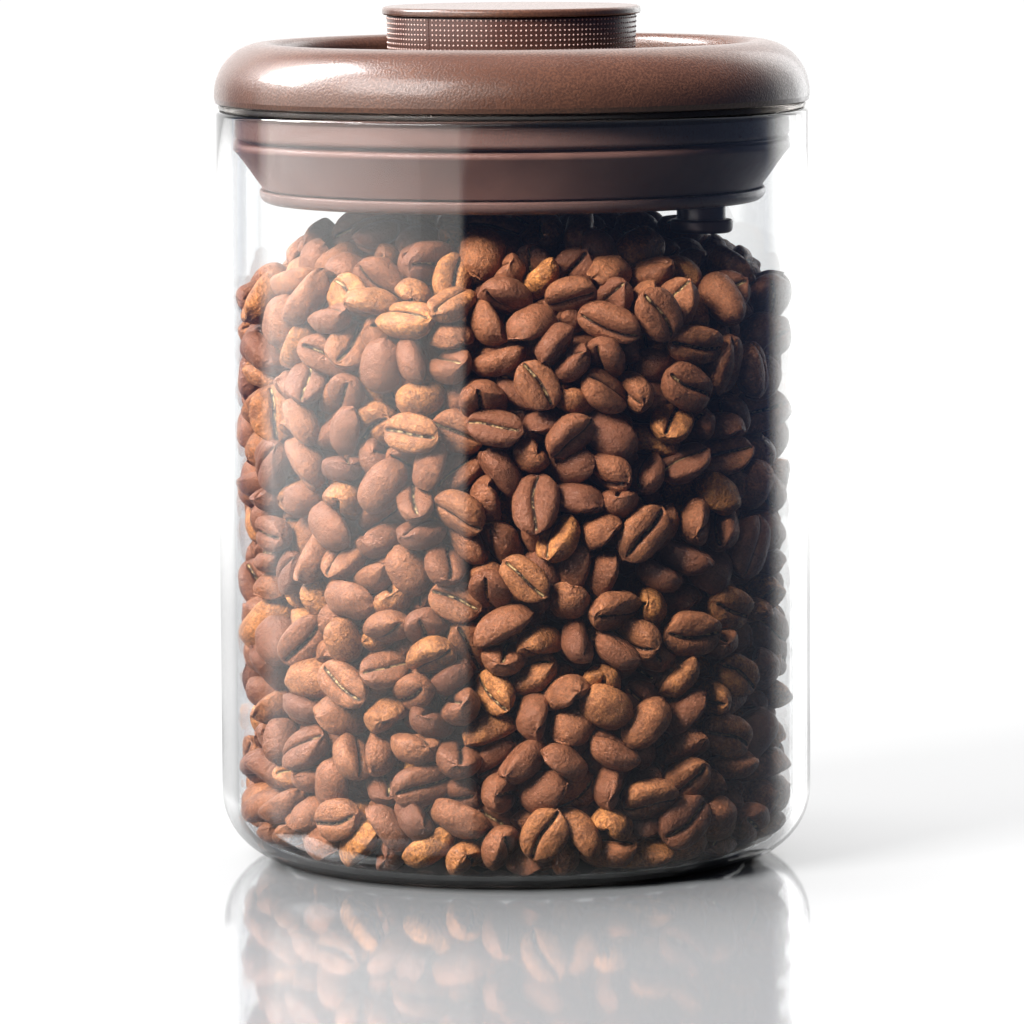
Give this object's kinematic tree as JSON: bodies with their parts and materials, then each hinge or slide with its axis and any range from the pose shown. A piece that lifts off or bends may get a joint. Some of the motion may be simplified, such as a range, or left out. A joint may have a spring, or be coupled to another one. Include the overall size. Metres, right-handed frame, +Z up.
{
  "type": "food canister",
  "caption": "Round glass food jar with a moulded lid: twisting the knob pumps air out, and a button in the lid's recess lets it back in.",
  "frame": {"origin": "centre of the glass base, on the surface the canister stands on", "axes": "+Z up along the jar's axis; -Y is the front and +X is to the right seen from the front, so the release button is at the front right"},
  "size_m": [0.1204, 0.1204, 0.1726],
  "materials": {
    "clear_glass": "clear polished glass with a slight grey tint at its edges",
    "clear_silicone": "translucent, satin",
    "lid_plastic": "brown, satin with a fine moulded grain",
    "band_plastic": "brown, satin, covered with rows of fine raised dots",
    "plug_plastic": "dark brown, smooth semi-gloss",
    "brown_silicone": "dark brown, smooth satin",
    "inner_plastic": "off-white, satin",
    "grey_silicone": "grey, satin",
    "filter_mesh": "fine woven mesh",
    "steel": "plain steel"
  },
  "bodies": {
    "jar": {"glass_jar": "clear_glass"},
    "lid": {"lid_shell": "lid_plastic", "plug_body": "plug_plastic", "main_seal": "brown_silicone", "bottom_cover": "plug_plastic", "rim_gasket": "clear_silicone", "intake_filter": "filter_mesh", "intake_valve": "grey_silicone", "pump_cylinder": "inner_plastic", "cylinder_gasket": "grey_silicone", "cylinder_screws": "steel", "cylinder_cap": "inner_plastic", "lid_screws": "steel", "knob_washer": "inner_plastic", "knob_clip": "steel", "release_guide": "inner_plastic", "release_spring": "steel"},
    "knob": {"knob_cap": "lid_plastic", "grip_band": "band_plastic", "knob_hub": "inner_plastic", "hub_screws": "steel", "cam_shaft": "inner_plastic", "shaft_screw": "steel"},
    "piston": {"piston": "inner_plastic", "piston_seal": "grey_silicone", "exhaust_valves": "grey_silicone", "follower_pins": "steel"},
    "release": {"release_button": "lid_plastic", "release_stem": "steel", "release_valve": "brown_silicone"}
  },
  "joints": [
    {"name": "lid_lift", "type": "slide", "parent": "jar", "child": "lid", "axis": [0, 0, 1], "range_m": [0, 0.06]},
    {"name": "knob_twist", "type": "hinge", "parent": "lid", "child": "knob", "pos_m": [0, 0, 0.166], "axis": [0, 0, 1], "range_deg": [0, 120]},
    {"name": "piston_stroke", "type": "slide", "parent": "lid", "child": "piston", "axis": [0, 0, 1], "range_m": [0, 0.008]},
    {"name": "release_press", "type": "slide", "parent": "lid", "child": "release", "axis": [0, 0, -1], "range_m": [0, 0.0025], "stiffness_N_per_m": 900, "springref_m": -0.004, "deforming": ["release_spring"]}
  ],
  "couplings": [
    {"joint": "knob_twist", "follows": "piston_stroke", "rad_per_m": 261.8}
  ]
}
